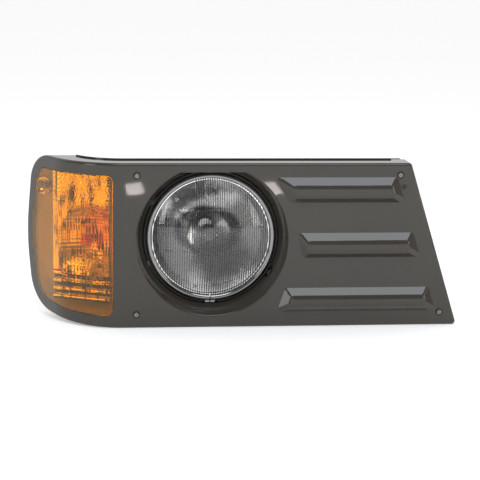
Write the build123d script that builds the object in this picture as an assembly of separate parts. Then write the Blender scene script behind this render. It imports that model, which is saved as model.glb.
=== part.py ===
from build123d import *
import os
from math import cos, radians, sin, sqrt, tan

os.makedirs("parts", exist_ok=True)

# Left-hand-side headlight assembly. Millimetres, +Z up, the front faces -Y and +X is on the
# right as seen from the front. The lamp axis is the Y axis; y = 0 is the mounting plane, the
# rear face of the mounting panel, where four studs stand out backwards.

# Bezel outline
face_setback = 72.0       # flat face, ahead of the mounting plane
bezel_wall = 3.0
top_height = 110.5        # top edge above the lamp axis
bottom_depth = 125.5      # bottom edge below the lamp axis, at the face
right_top_x = 281.0       # right edge where it meets the top edge
right_bottom_x = 355.5    # right edge where it meets the bottom edge
corner_radius = 5.0
edge_round = 3.5          # round between face and return flange
wrap_start = 125.0        # where the face starts to bend, left of the lamp axis
wrap_radius = 110.0
wrap_angle = 60.0
side_top_reach = 114.0    # trailing edge behind the face: at the top corner
side_mid_reach = 130.5    # at its furthest
side_mid_height = -10.0
side_bottom_reach = 114.0
side_bottom_rise = 13.5   # how far the bottom edge climbs towards the trailing edge
side_top_round = 44.0
side_mid_round = 250.0
side_bottom_round = 56.0
flange_depth = 36.0
trailing_flange = 12.0
lip_height = 1.8
lip_thickness = 2.5
lip_right_x = 258.0

# Lamp opening in the bezel
recess_taper = 10.0       # how much wider the opening is than the recess's inner end
opening_flat_drop = 10.0  # how far the flat cuts into the top of the opening
recess_gap = 5.0          # from the recess's inner end to the plane of the seat ring
seat_gap = 1.7            # between the seat ring's rim and the recess's inner end
opening_round = 2.5

# Raised ribs: top and bottom height, left end at the top and at the bottom
ribs = [
    (91.0, 54.0, 86.0, 107.0, 16.0),
    (11.5, -25.5, 120.0, 128.0, 10.0),
    (-68.0, -104.0, 104.0, 92.0, 14.0),
]
rib_end_gap = 25.0        # right ends, in from the bezel's right edge
rib_height = 9.0
rib_top_slope = 13.0
rib_bottom_slope = 10.0
rib_right_slope = 13.0
rib_corner = 8.0
rib_round = 10.0          # round between a rib's crest and its slopes

# Bezel screws
screw_spots = [(-107.0, 93.0), (-107.0, -105.5), (265.5, 93.5), (329.0, -106.0)]
screw_radius = 2.1
screw_head_radius = 3.5
screw_head_height = 2.4
cross_length = 4.2
cross_width = 0.8
washer_radius = 5.0
washer_thickness = 1.0
washer_sink = 1.2
insert_radius = 4.0
insert_length = 12.0
screw_length = 18.0
boss_radius = 7.0
plug_spot = (271.5, 76.5)
plug_radius = 2.2

# Mounting panel
panel_wall = 3.0
panel_gap = 0.8           # between the panel's skirt and the bezel's flange
skirt_overlap = 4.0
panel_left = 118.0
panel_hole_gap = 0.5      # how much smaller the panel's hole is than the lamp
stud_x = 95.0
stud_z = 75.0
stud_radius = 3.0
stud_shoulder_radius = 3.8
stud_length = 22.0
stud_point = 0.8
stud_head_radius = 6.5
stud_head_height = 3.0
end_hole_x = 255.0
end_hole_z = 60.0
end_hole_radius = 3.3
seal_width = 8.0
seal_thickness = 4.0
seal_inset = 3.0

# Sealed-beam lamp, seven-inch round type
lamp_seat = 36.0          # front of the seat ring, ahead of the mounting plane
lamp_radius = 88.5
lens_edge_width = 6.0     # bonding flange round the dome
lens_bulge = 22.0
lens_thickness = 3.5
lens_flange = 3.9
reflector_flange = 3.1
reflector_wall = 3.0
reflector_rim_width = 5.36  # bonding flange round the bowl
reflector_depth = 64.0
lamp_base_radius = 17.0
lamp_base_thickness = 8.0
prong_length = 12.0
prong_width = 8.0
prong_thickness = 0.8
prong_spread = 9.0
prong_rise = 8.0
capsule_radius = 6.5
capsule_length = 34.0
capsule_wall = 1.0
capsule_pinch = 6.0       # solid glass at the closed rear end
filament_radius = 0.8
filament_span = 6.0
lead_wire = 0.5
shield_radius = 9.5
shield_sheet = 0.6
post_radius = 0.9

# Retaining ring and seat ring
ring_gap = 4.0            # retaining ring's skirt, out from the lamp's edge
ring_cover = 4.0          # retaining ring's lip, in over the lamp's edge
ring_sheet = 0.9
ring_crown = 3.0
ring_slit = 1.5
lug_width = 6.0
lug_height = 3.2
lug_sink = 0.3            # how deep the lugs are set into the ring
clamp_screw_radius = 1.0
clamp_head = 1.6          # length of the clamp screw's head and of its nut
seat_sheet = 2.0
seat_cover = 2.5          # seat ring, in behind the lamp's edge
seat_rim_gap = 2.8        # seat ring's rim, out from the retaining ring
seat_rim_height = 6.0

# Aiming: three points on one circle about the lamp axis
aim_out = 4.7             # from the seat ring's rim to that circle
aim_angle = 31.0          # of the three points, from the horizontal
pivot_plane = 25.0        # ball centre, ahead of the mounting plane
ear_radius = 8.0
aim_screw_radius = 2.5
aim_head_radius = 4.5
aim_head_height = 3.0
aim_slot_width = 1.2
aim_slot_depth = 1.4
aim_head_plane = 49.5     # front of the screw heads, ahead of the mounting plane
aim_nut_length = 8.0
aim_nut_width = 12.0
nut_shoulder = 1.4
aim_nut_play = 1.5        # lets the nut tilt with the lamp, as its ball-shaped seat does
running_play = 0.05
moving_gap = 0.3
bush_radius = 6.0
bush_length = 12.0
collar_radius = 4.2
collar_thickness = 1.5
notch_radius = 10.0
notch_depth = 5.5
ball_radius = 6.0
pin_radius = 2.0
trunnion_radius = 2.2
trunnion_reach = 2.5      # trunnions past the ball, above and below
yoke_gap = 0.5
yoke_sheet = 2.0
yoke_width = 8.0
socket_width = 11.6
socket_height = 18.0
socket_foot = 4.0         # foot past the socket on each side

# Signal lamp
signal_margin = 17.5      # lens opening, in from the bezel's outline
signal_right_x = 140.0    # right edge of the opening, left of the lamp axis
signal_corner = 10.0
lens_gap = 0.4
lens_proud = 1.5
signal_lens_wall = 2.5
signal_flange_width = 5.0
signal_flange_wall = 2.5
gasket_thickness = 1.0
housing_wall = 2.5
signal_ear_z = 60.0       # ears above and below the lamp axis
signal_ear_depth = 18.5   # back of the ears, behind the face
signal_screw_out = 5.5    # screws, out from the housing's side
signal_screw_radius = 2.0
signal_screw_length = 12.5
signal_cant = 25.0        # bulb axis, turned out from straight ahead
housing_depth = 64.0      # from the face to the rear wall, at the housing's right side
turn_spot = (-163.0, -8.0)      # bulb axis on the rear wall: X and Z
marker_spot = (-229.0, 64.0)
bowl_radius = 46.0
bowl_depth = 27.0
bowl_vertex = 6.0         # bowl's deepest point, ahead of the housing's rear wall
marker_bowl_radius = 12.0
marker_bowl_depth = 7.0
bowl_wall = 1.6
turn_socket_radius = 15.0
marker_socket_radius = 9.0
socket_lip = 2.0
socket_play = 0.4
socket_lug = 1.8
lug_bar = 6.0             # width of a socket's locking lugs
lug_sheet = 2.0
grip_width = 3.0
seat_rim = 3.0            # wall round a socket's seat
seat_reach = 6.0          # how far the seat stands out behind the rear wall
barrel_ratio = 0.72       # socket barrel to flange
socket_well = 7.0         # depth of the open back of a socket
socket_collar = 5.0
seal_ring_section = 1.2
socket_length = 16.0
blade_length = 6.0        # contact blades in a socket's open back
blade_sheet = 0.8
socket_flange = 2.2
turn_bulb_radius = 9.0
turn_bulb_tip = 38.0      # tip of the bulb, ahead of the rear wall
turn_base_radius = 7.5
turn_base_tip = 13.0
marker_bulb_radius = 4.0
marker_bulb_tip = 15.0
marker_base_radius = 3.6
marker_base_tip = 5.5
glass_wall = 0.8
twist = 45.0              # turn that frees a bulb socket

# Extents of the construction solids, well outside the object
far = 600.0
plan_back = 150.0

face_y = -face_setback
lamp_y = -lamp_seat
recess_depth = face_setback - lamp_seat - recess_gap
lens_edge_radius = lamp_radius - lens_edge_width
reflector_focus = (lamp_radius - reflector_rim_width) ** 2 / (4 * reflector_depth)
ring_radius = lamp_radius + ring_gap
ring_lip_radius = lamp_radius - ring_cover
seat_inner_radius = lamp_radius - seat_cover
seat_rim_radius = ring_radius + seat_rim_gap
panel_hole_radius = lamp_radius - panel_hole_gap
recess_inner_radius = seat_rim_radius + seat_gap
opening_radius = recess_inner_radius + recess_taper
opening_flat = opening_radius - opening_flat_drop
aim_radius = seat_rim_radius + aim_out
signal_flange_depth = bezel_wall + gasket_thickness + signal_flange_wall
housing_back_y = face_y + housing_depth
right_slope = (right_bottom_x - right_top_x) / (top_height + bottom_depth)


def right_edge(z):
    """X of the bezel's slanted right edge at a height."""
    return right_top_x + (top_height - z) * right_slope


def block(x0, x1, y0, y1, z0, z1):
    """Box between two corners."""
    return Pos((x0 + x1) / 2, (y0 + y1) / 2, (z0 + z1) / 2) * Box(x1 - x0, y1 - y0, z1 - z0)


def rod(x, z, radius, y0, y1):
    """Round bar along Y."""
    return extrude(Plane(origin=(x, y0, z), z_dir=(0, 1, 0)) * Circle(radius), y1 - y0)


def tube(x, z, outer, inner, y0, y1):
    """Round tube along Y."""
    return rod(x, z, outer, y0, y1) - rod(x, z, inner, y0 - 1, y1 + 1)


def turned(points):
    """Solid of revolution about the lamp axis, from (radius, y) points."""
    return revolve(make_face(Polyline(*[(r, y, 0) for r, y in points], close=True)), Axis.Y)


def plan_area(depth):
    """Everything behind the bezel's plan curve, moved inwards by a depth."""
    radius = wrap_radius - depth
    front = face_y + depth
    centre_y = face_y + wrap_radius
    half = radians(wrap_angle / 2)
    full = radians(wrap_angle)
    bend = (-wrap_start, front)
    middle = (-wrap_start - radius * sin(half), centre_y - radius * cos(half))
    end = (-wrap_start - radius * sin(full), centre_y - radius * cos(full))
    tail = (end[0] - (plan_back - end[1]) / tan(full), plan_back)
    curve = Line((far, front), bend) + ThreePointArc(bend, middle, end) + Line(end, tail)
    closing = Polyline(tail, (far, plan_back), (far, front))
    return extrude(make_face(curve + closing), far, both=True)


def side_outline(inset):
    """Bezel's outline seen along X, pulled in by an inset."""
    fall = side_bottom_rise / side_bottom_reach
    corners = [
        (-far, top_height),
        (side_top_reach - face_setback, top_height),
        (side_mid_reach - face_setback, side_mid_height),
        (side_bottom_reach - face_setback, side_bottom_rise - bottom_depth),
        (-far, -bottom_depth - (far - face_setback) * fall),
    ]
    rounds = [1.0, side_top_round, side_mid_round, side_bottom_round, 1.0]
    outline = make_face(FilletPolyline(*corners, radius=rounds, close=True))
    if inset > 0:
        outline = offset(outline, -inset)
    return extrude(Plane.YZ * outline, far, both=True)


def left_of(x, lean):
    """Everything left of a plane that crosses the top edge at x and leans outwards below."""
    low = x + (top_height + far) * lean
    high = x + (top_height - far) * lean
    area = make_face(Polyline((-far, far), (high, far), (low, -far), (-far, -far), close=True))
    return extrude(Plane.XZ * area, far, both=True)


def along_y_edges(solid, x_low):
    """Straight edges that run front to back, right of a limit."""
    edges = solid.edges().filter_by(GeomType.LINE)
    return [edge for edge in edges if edge.center().X > x_low and abs(edge.tangent_at(0.5).Y) > 0.9]


def bezel_block(depth, inset):
    """Bezel's full volume behind a depth, its outline pulled in by an inset."""
    lean = inset * sqrt(1 + right_slope ** 2)
    return plan_area(depth) & side_outline(inset) & left_of(right_top_x - lean, right_slope)


def signal_block(grow, depth):
    """Volume behind the signal lamp's outline, grown outwards."""
    right = -signal_right_x + grow
    volume = plan_area(depth) & side_outline(signal_margin - grow) & left_of(right, 0)
    return fillet(along_y_edges(volume, right - 1), signal_corner)


def front_edges(solid):
    """Edges round the front surface, without the upright joints inside it."""
    centre_y = face_y + wrap_radius
    chosen = []
    for edge in solid.edges():
        middle = edge.position_at(0.5)
        on_flat = abs(middle.Y - face_y) < 0.01
        reach = sqrt((middle.X + wrap_start) ** 2 + (middle.Y - centre_y) ** 2)
        on_bend = middle.X < -wrap_start and abs(reach - wrap_radius) < 0.01
        along = (middle.X + wrap_start) * sin(radians(wrap_angle))
        across = (middle.Y - centre_y) * cos(radians(wrap_angle))
        on_tail = abs(-along - across - wrap_radius) < 0.01
        upright = abs(edge.tangent_at(0.5).Z) > 0.999
        if (on_flat or on_bend or on_tail) and not upright:
            chosen.append(edge)
    return chosen


def rib_solid(z_top, z_bottom, left_top, left_bottom, left_slope):
    """One raised rib: a pad with sloped sides, longer above than below."""
    base_y = face_y + 0.5

    def corners(top_in, bottom_in, left_in, right_in):
        top = z_top - top_in
        bottom = z_bottom + bottom_in
        lean = (left_top - left_bottom) / (z_top - z_bottom)
        return [
            (left_bottom + (top - z_bottom) * lean + left_in, top),
            (right_edge(top) - rib_end_gap - right_in, top),
            (right_edge(bottom) - rib_end_gap - right_in, bottom),
            (left_bottom + (bottom - z_bottom) * lean + left_in, bottom),
        ]

    base = make_face(Polyline(*corners(0, 0, 0, 0), close=True))
    crest = make_face(Polyline(
        *corners(rib_top_slope, rib_bottom_slope, left_slope, rib_right_slope), close=True))
    solid = loft([
        Plane(origin=(0, base_y, 0), x_dir=(1, 0, 0), z_dir=(0, -1, 0)) * base,
        Plane(origin=(0, face_y - rib_height, 0), x_dir=(1, 0, 0), z_dir=(0, -1, 0)) * crest,
    ])
    solid = fillet([edge for edge in solid.edges() if abs(edge.tangent_at(0.5).Y) > 0.2], rib_corner)
    crest_y = face_y - rib_height
    return fillet([edge for edge in solid.edges() if abs(edge.center().Y - crest_y) < 0.01], rib_round)


def opening_cone(grow):
    """Tapered lamp recess, grown outwards, flat at the top."""
    cone = turned([
        (0, face_y),
        (opening_radius + grow, face_y),
        (recess_inner_radius + grow, face_y + recess_depth),
        (0, face_y + recess_depth),
    ])
    return cone & block(-far, far, -far, far, -far, opening_flat + grow)


def mouth_area(mouth, neck):
    """Half section of the opening, with its rounded front edge, as (distance, y)."""
    inner_y = face_y + recess_depth
    round_y = face_y + opening_round
    start = (mouth, round_y)
    turn = opening_round * (1 - cos(radians(45)))
    middle = (mouth + turn, face_y + turn)
    end = (mouth + opening_round, face_y)
    front = (mouth + opening_round, face_y - 20)
    walls = Polyline((neck, inner_y), start) + ThreePointArc(start, middle, end)
    closing = Polyline(end, front, (0, front[1]), (0, inner_y), (neck, inner_y))
    return make_face(walls + closing)


def opening_cut():
    """Space inside the lamp recess and its rounded mouth."""
    round_cut = revolve(mouth_area(opening_radius, recess_inner_radius), Axis.Y)
    upright = Plane(origin=(0, 0, 0), x_dir=(0, 0, 1), z_dir=(-1, 0, 0))
    flat_cut = extrude(upright * mouth_area(opening_flat, opening_flat), far, both=True)
    return round_cut & (flat_cut + block(-far, far, face_y - 20, face_y + recess_depth, -far, 1))


aim_x = aim_radius * cos(radians(aim_angle))
aim_z = aim_radius * sin(radians(aim_angle))
pivot_spot = (-aim_x, -aim_z)
vertical_spot = (-aim_x, aim_z)
horizontal_spot = (aim_x, -aim_z)


def make_bezel():
    """Moulded panel: face, return flanges, lamp recess, ribs, lip, holes."""
    outer = bezel_block(0, 0)
    outer = fillet(along_y_edges(outer, 0), corner_radius)
    outer = fillet(front_edges(outer), edge_round)
    inner = bezel_block(bezel_wall, bezel_wall)
    inner = fillet(along_y_edges(inner, 0), corner_radius - bezel_wall)
    shell = (outer - inner) - plan_area(flange_depth)
    reach = side_mid_reach - face_setback
    shell -= plan_area(trailing_flange) & block(
        -far, far, 0, reach + 5, -bottom_depth + side_bottom_round / 2, top_height - side_top_round / 2)
    lip = plan_area(flange_depth - lip_thickness) - plan_area(flange_depth)
    lip &= block(-far, lip_right_x, -far, side_top_reach - face_setback - side_top_round,
                 top_height - 1, top_height + lip_height)
    body = shell + lip
    for row in ribs:
        body += rib_solid(*row)
    for row in ribs:
        body -= Pos(0, bezel_wall, 0) * rib_solid(*row)
    recess = opening_cone(bezel_wall) & block(
        -far, far, face_y + 0.5, face_y + recess_depth, -far, far)
    body = body + recess - opening_cut()
    body -= rod(0, 0, recess_inner_radius - 0.5, face_y, 0)
    body -= signal_block(0, -10)
    for x, z in screw_spots:
        body -= rod(x, z, screw_radius + 0.3, face_y - 1, face_y + bezel_wall + 1)
        body -= rod(x, z, washer_radius + 0.3, face_y - 1, face_y + washer_sink)
    body -= rod(*plug_spot, plug_radius + 0.02, face_y - 1, face_y + bezel_wall + 1)
    recess_end = face_y + recess_depth + 1
    for x, z in (vertical_spot, horizontal_spot):
        body -= rod(x, z, notch_radius, recess_end - 1 - notch_depth, recess_end)
        body -= rod(x, z, aim_head_radius + 2 * moving_gap, -aim_head_plane - 2, recess_end)
    return body


def at_screws(make):
    """One copy of a piece at each bezel screw."""
    return Compound(children=[make(x, z) for x, z in screw_spots])


def make_bezel_screw(x, z):
    """Pan-head screw with a cross recess, from the washer down into the insert."""
    seat = face_y + washer_sink - washer_thickness
    head = rod(x, z, screw_head_radius, seat - screw_head_height, seat)
    crown = head.edges().filter_by(GeomType.CIRCLE).sort_by(Axis.Y)[0]
    head = fillet(crown, screw_head_height * 0.55)
    top = seat - screw_head_height
    slot = top + screw_head_height * 0.5
    half = cross_length / 2
    thin = cross_width / 2
    head -= block(x - half, x + half, top - 1, slot, z - thin, z + thin)
    head -= block(x - thin, x + thin, top - 1, slot, z - half, z + half)
    return head + rod(x, z, screw_radius, seat, seat + screw_length)


def make_washer(x, z):
    """Cup washer sunk into the face under a screw head."""
    seat = face_y + washer_sink
    return tube(x, z, washer_radius, screw_radius + running_play, seat - washer_thickness, seat)


def make_insert(x, z):
    """Brass insert in the front of a panel boss."""
    front = face_y + bezel_wall
    return tube(x, z, insert_radius, screw_radius + running_play, front, front + insert_length)


def make_plug():
    """Small push-in plug that closes a spare hole in the face."""
    head = rod(*plug_spot, plug_radius + 1.0, face_y - 1.0, face_y)
    return head + rod(*plug_spot, plug_radius, face_y, face_y + bezel_wall + 1.5)


def panel_block(inset):
    """Inside of the bezel behind its flanges, right of the signal lamp."""
    gap = bezel_wall + panel_gap + inset
    front = face_y + flange_depth - skirt_overlap
    volume = bezel_block(0, gap)
    return volume & block(-panel_left + inset, far, front, 0, -far, far)


def make_panel():
    """Mounting panel: back plate, skirt, four bosses, lamp hole and fixing holes."""
    front = face_y + flange_depth - skirt_overlap
    inside = panel_block(panel_wall) & block(-far, far, front - 1, -panel_wall, -far, far)
    tray = panel_block(0) - inside
    tray -= rod(0, 0, panel_hole_radius, -panel_wall - 1, 1)
    for x, z in screw_spots:
        tray += rod(x, z, boss_radius, face_y + bezel_wall, 0)
        tray -= rod(x, z, insert_radius, face_y + bezel_wall - 1, face_y + bezel_wall + insert_length)
        tray -= rod(x, z, screw_radius + 0.3, face_y, face_y + washer_sink + screw_length + 2)
    for x in (-stud_x, stud_x):
        for z in (-stud_z, stud_z):
            tray -= rod(x, z, stud_shoulder_radius + running_play, -panel_wall - 1, 1)
    for z in (-end_hole_z, end_hole_z):
        tray -= rod(end_hole_x, z, end_hole_radius, -panel_wall - 1, 1)
    for x, z in (vertical_spot, horizontal_spot):
        tray -= rod(x, z, bush_radius, -panel_wall - 5, 1)
    return tray


def make_stud(x, z):
    """Headed stud pressed through the panel from the front."""
    head = rod(x, z, stud_head_radius, -panel_wall - stud_head_height, -panel_wall)
    shoulder = rod(x, z, stud_shoulder_radius, -panel_wall, 0)
    shank = rod(x, z, stud_radius, 0, stud_length)
    return head + shoulder + chamfer(shank.faces().sort_by(Axis.Y)[-1].edges(), stud_point)


def make_studs():
    """The four mounting studs."""
    spots = [(x, z) for x in (-stud_x, stud_x) for z in (-stud_z, stud_z)]
    return Compound(children=[make_stud(x, z) for x, z in spots])


def make_seal():
    """Foam strip round the back of the panel."""
    outer = bezel_block(0, bezel_wall + panel_gap + seal_inset)
    inner = bezel_block(0, bezel_wall + panel_gap + seal_inset + seal_width)
    left = -panel_left + seal_inset
    strip = outer & block(left, far, 0, seal_thickness, -far, far)
    return strip - (inner & block(left + seal_width, far, -1, seal_thickness + 1, -far, far))


def make_headlamp_lens():
    """Domed, fluted front glass with its bonding flange."""
    radius = (lens_edge_radius ** 2 + lens_bulge ** 2) / (2 * lens_bulge)
    rim_y = lamp_y - reflector_flange - lens_flange
    centre_y = rim_y - lens_bulge + radius
    inner = radius - lens_thickness
    flange_y = lamp_y - reflector_flange
    inner_rim = sqrt(inner ** 2 - (centre_y - flange_y) ** 2)

    def at(reach, r):
        return (r, centre_y - sqrt(reach ** 2 - r ** 2))

    outside = ThreePointArc(at(radius, 0), at(radius, lens_edge_radius / 2), at(radius, lens_edge_radius))
    inside = ThreePointArc((inner_rim, flange_y), at(inner, inner_rim / 2), at(inner, 0))
    step = Polyline(
        at(radius, lens_edge_radius), (lens_edge_radius, rim_y + 0.8), (lamp_radius, rim_y + 0.8),
        (lamp_radius, flange_y), (inner_rim, flange_y))
    axis_line = Line(at(inner, 0), at(radius, 0))
    return revolve(make_face(outside + step + inside + axis_line), Axis.Y)


def bowl_curve(focus, rim_y, depth, steps):
    """Points (radius, y) down a parabolic bowl whose vertex is a depth behind the rim."""
    drops = [depth * (1 - (1 - i / steps) ** 2) for i in range(steps + 1)]
    return [(sqrt(4 * focus * (depth - drop)), rim_y + drop) for drop in drops]


def bowl_of(curve):
    """Solid turned from a bowl's curve, closed across the seat plane."""
    rim = (0, lamp_y)
    return revolve(make_face(Spline(*curve) + Line(curve[-1], rim) + Line(rim, curve[0])), Axis.Y)


def make_headlamp_reflector():
    """Parabolic glass bowl with its bonding flange and flat boss at the back."""
    inside = bowl_curve(reflector_focus, lamp_y, reflector_depth, 12)
    outside = bowl_curve(reflector_focus, lamp_y, reflector_depth + reflector_wall, 12)
    bowl = bowl_of(inside)
    body = bowl_of(outside)
    back = lamp_y + reflector_depth
    body += rod(0, 0, lamp_base_radius, back - lamp_base_thickness, back + reflector_wall)
    body += rod(0, 0, lamp_radius, lamp_y - reflector_flange, lamp_y)
    throat = rod(0, 0, inside[0][0], lamp_y - reflector_flange - 1, lamp_y)
    return body - bowl - throat


def make_lamp_base():
    """Insulating block cemented to the back of the reflector."""
    start = lamp_y + reflector_depth + reflector_wall
    base = rod(0, 0, lamp_base_radius - 1, start, start + lamp_base_thickness)
    return chamfer(base.faces().sort_by(Axis.Y)[-1].edges(), 1.5)


def make_prongs():
    """Three flat contact blades: one across the top, two upright at the sides."""
    start = lamp_y + reflector_depth + reflector_wall + lamp_base_thickness
    half = prong_width / 2
    thin = prong_thickness / 2
    end = start + prong_length
    top = block(-half, half, start, end, prong_rise - thin, prong_rise + thin)
    sides = [block(x - thin, x + thin, start, end, -half - 2, half - 2)
             for x in (-prong_spread, prong_spread)]
    return Compound(children=[top, *sides])


def capsule_front():
    """Y of the capsule's tip."""
    return lamp_y + reflector_depth - 10 - capsule_length


def make_capsule():
    """Halogen burner: closed glass tube on the lamp axis."""
    tip = capsule_front()
    start = tip + capsule_radius
    bore = capsule_radius - capsule_wall
    glass = rod(0, 0, capsule_radius, start, tip + capsule_length) + Pos(0, start, 0) * Sphere(capsule_radius)
    hollow = rod(0, 0, bore, start, tip + capsule_length - capsule_pinch) + Pos(0, start, 0) * Sphere(bore)
    return glass - hollow


def make_filament():
    """Filament across the capsule, on its two lead wires."""
    middle = capsule_front() + capsule_length * 0.45
    coil = Pos(0, middle, 0) * Rot(0, 90, 0) * Cylinder(filament_radius, filament_span)
    end = capsule_front() + capsule_length - capsule_pinch
    reach = filament_span / 2 - lead_wire
    thin = lead_wire / 2
    legs = [block(x - thin, x + thin, middle, end, -thin, thin) for x in (-reach, reach)]
    return coil + legs[0] + legs[1]


def make_shield():
    """Bright cap held in front of the capsule, which stops direct glare."""
    tip = capsule_front()
    cup = tube(0, 0, shield_radius, shield_radius - shield_sheet, tip - 4, tip + 9)
    return cup + rod(0, 0, shield_radius, tip - 4 - shield_sheet, tip - 4)


def make_posts():
    """Two wires from the reflector's boss that carry the capsule and its shield."""
    back = lamp_y + reflector_depth
    clamp = tube(0, 0, capsule_radius + 1.2, capsule_radius, back - 18, back - 12)
    reach = shield_radius - shield_sheet - post_radius
    wires = [rod(x, 0, post_radius, capsule_front() + 6, back - 1) for x in (-reach, reach)]
    bridge = block(-reach, reach, back - 16, back - 14, -post_radius, post_radius)
    bridge -= rod(0, 0, capsule_radius, back - 20, back)
    return clamp + bridge + wires[0] + wires[1]


def make_seat_ring():
    """Pressed-steel ring that carries the lamp, with an upstanding rim and three ears."""
    plate = tube(0, 0, seat_rim_radius, seat_inner_radius, lamp_y, lamp_y + seat_sheet)
    rim = tube(0, 0, seat_rim_radius, seat_rim_radius - 1.4, lamp_y - seat_rim_height, lamp_y)
    ring = plate + rim
    ring -= block(-lug_width * 1.8, lug_width * 1.8, lamp_y - seat_rim_height - 1, lamp_y - 0.5,
                  -seat_rim_radius - 2, -ring_radius + 1)
    for x, z in (pivot_spot, vertical_spot, horizontal_spot):
        ring += rod(x, z, ear_radius, lamp_y, lamp_y + seat_sheet)
    ring -= rod(0, 0, seat_inner_radius, lamp_y - 1, lamp_y + seat_sheet + 1)
    for x, z in (vertical_spot, horizontal_spot):
        half = aim_nut_width / 2
        neck = half - nut_shoulder
        ring -= block(x - neck, x + neck, lamp_y - 1, lamp_y + seat_sheet + 1, z - neck, z + neck)
        room = half + 0.5
        ring -= block(x - room, x + room, lamp_y - far / 2, lamp_y, z - room, z + room)
    return ring


def make_retaining_ring():
    """Polished ring that clamps the lamp, split at the bottom between two lugs."""
    lip_y = lamp_y - reflector_flange - lens_flange + 0.8
    edge_y = lip_y - 0.5
    inner = ring_radius - ring_sheet
    crown_r = (ring_lip_radius + ring_radius) / 2
    lip_start = (ring_lip_radius, lip_y - ring_sheet)
    lip_end = (ring_lip_radius, lip_y)
    outside = ThreePointArc(lip_start, (crown_r, lip_y - ring_crown - ring_sheet), (ring_radius, edge_y))
    inside = ThreePointArc((inner, edge_y), (crown_r, lip_y - ring_crown), lip_end)
    skirt = Polyline((ring_radius, edge_y), (ring_radius, lamp_y), (inner, lamp_y), (inner, edge_y))
    ring = revolve(make_face(outside + skirt + inside + Line(lip_end, lip_start)), Axis.Y)
    low = -ring_radius + lug_sink
    reach = ring_slit / 2 + lug_width
    middle = lamp_y - seat_rim_height / 2
    lugs = block(-reach, reach, lamp_y - seat_rim_height + 0.5, lamp_y - 0.5, low - lug_height, low)
    lugs -= rod_x(-far / 2, far / 2, middle, low - lug_height / 2, clamp_screw_radius + running_play)
    half = ring_slit / 2
    slit = block(-half, half, lip_y - 10, lamp_y + 1, -ring_radius - 10, 3 - ring_lip_radius)
    return ring + lugs - slit


def rod_x(x0, x1, y, z, radius):
    """Round bar along X."""
    return extrude(Plane(origin=(x0, y, z), z_dir=(1, 0, 0)) * Circle(radius), x1 - x0)


def rod_z(x, y, radius, z0, z1):
    """Round bar along Z."""
    return extrude(Plane(origin=(x, y, z0), z_dir=(0, 0, 1)) * Circle(radius), z1 - z0)


def make_clamp_screw():
    """Small screw that pulls the retaining ring's lugs together, with its nut."""
    y = lamp_y - seat_rim_height / 2
    z = -ring_radius + lug_sink - lug_height / 2
    end = ring_slit / 2 + lug_width
    shank = rod_x(-end, end + clamp_head + 0.9, y, z, clamp_screw_radius)
    head = rod_x(-end - clamp_head, -end, y, z, clamp_screw_radius + 0.5)
    nut = rod_x(end, end + clamp_head, y, z, clamp_screw_radius + 0.5)
    return head + shank + nut


def make_aim_nuts():
    """Two nylon nuts snapped into the seat ring's ears."""
    nuts = []
    for x, z in (vertical_spot, horizontal_spot):
        half = aim_nut_width / 2
        neck = half - nut_shoulder
        middle = lamp_y + seat_sheet / 2 + aim_nut_length / 2
        front = rod(x, z, half, lamp_y - 1.5, lamp_y)
        body = block(x - neck, x + neck, lamp_y, lamp_y + seat_sheet, z - neck, z + neck)
        back = block(x - half, x + half, lamp_y + seat_sheet, middle + 2, z - half, z + half)
        nuts.append(front + body + back - rod(x, z, aim_screw_radius + aim_nut_play, lamp_y - 5, middle + 5))
    return Compound(children=nuts)


def make_aim_screw(x, z):
    """Aiming screw: slotted head at the front, captive collars either side of its bush."""
    head_back = -aim_head_plane + aim_head_height
    bush_front = panel_wall - bush_length
    head = rod(x, z, aim_head_radius, -aim_head_plane, head_back)
    slot = aim_slot_width / 2
    head -= block(x - slot, x + slot, -aim_head_plane - 1, aim_slot_depth - aim_head_plane, z - far, z + far)
    shank = rod(x, z, aim_screw_radius, head_back, panel_wall + collar_thickness + 1.5)
    front = rod(x, z, collar_radius, bush_front - collar_thickness, bush_front - running_play)
    back = rod(x, z, collar_radius, panel_wall + running_play, panel_wall + collar_thickness)
    return head + shank + front + back


def make_bushes():
    """Two nylon bushes through the panel that hold the aiming screws."""
    bushes = []
    for x, z in (vertical_spot, horizontal_spot):
        body = tube(x, z, bush_radius, aim_screw_radius + running_play, panel_wall - bush_length, panel_wall)
        flange = tube(x, z, bush_radius + 2, bush_radius - 1, -panel_wall - 2, -panel_wall)
        bushes.append(body + flange)
    return Compound(children=bushes)


def make_pivot_ball():
    """Ball that turns in the socket about the upright axis, bored for the yoke pin."""
    x, z = pivot_spot
    ball = Pos(x, -pivot_plane, z) * Sphere(ball_radius)
    ball -= rod_x(x - far / 2, x + far / 2, -pivot_plane, z, pin_radius + running_play)
    side = ball_radius * 0.93
    ball &= block(x - side, x + side, -far, far, -far, far)
    reach = ball_radius + trunnion_reach
    for low, high in ((-reach, -pin_radius - 1), (pin_radius + 1, reach)):
        ball += rod_z(x, -pivot_plane, trunnion_radius, z + low, z + high)
    return ball


def make_pivot_yoke():
    """Forked bracket welded to the seat ring's ear, with the pin through the ball."""
    x, z = pivot_spot
    inner = ball_radius + yoke_gap
    outer = inner + yoke_sheet
    start = lamp_y + seat_sheet
    end = -pivot_plane + pin_radius + 1.5
    low_z = z - yoke_width / 2
    high_z = z + yoke_width / 2
    yoke = block(x - outer, x + outer, start, start + yoke_sheet, low_z, high_z)
    for side in (-1, 1):
        low = min(side * inner, side * outer)
        high = max(side * inner, side * outer)
        yoke += block(x + low, x + high, start, end, low_z, high_z)
    yoke -= Pos(x, -pivot_plane, z) * Sphere(ball_radius + yoke_gap)
    return yoke + rod_x(x - outer, x + outer, -pivot_plane, z, pin_radius)


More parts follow.
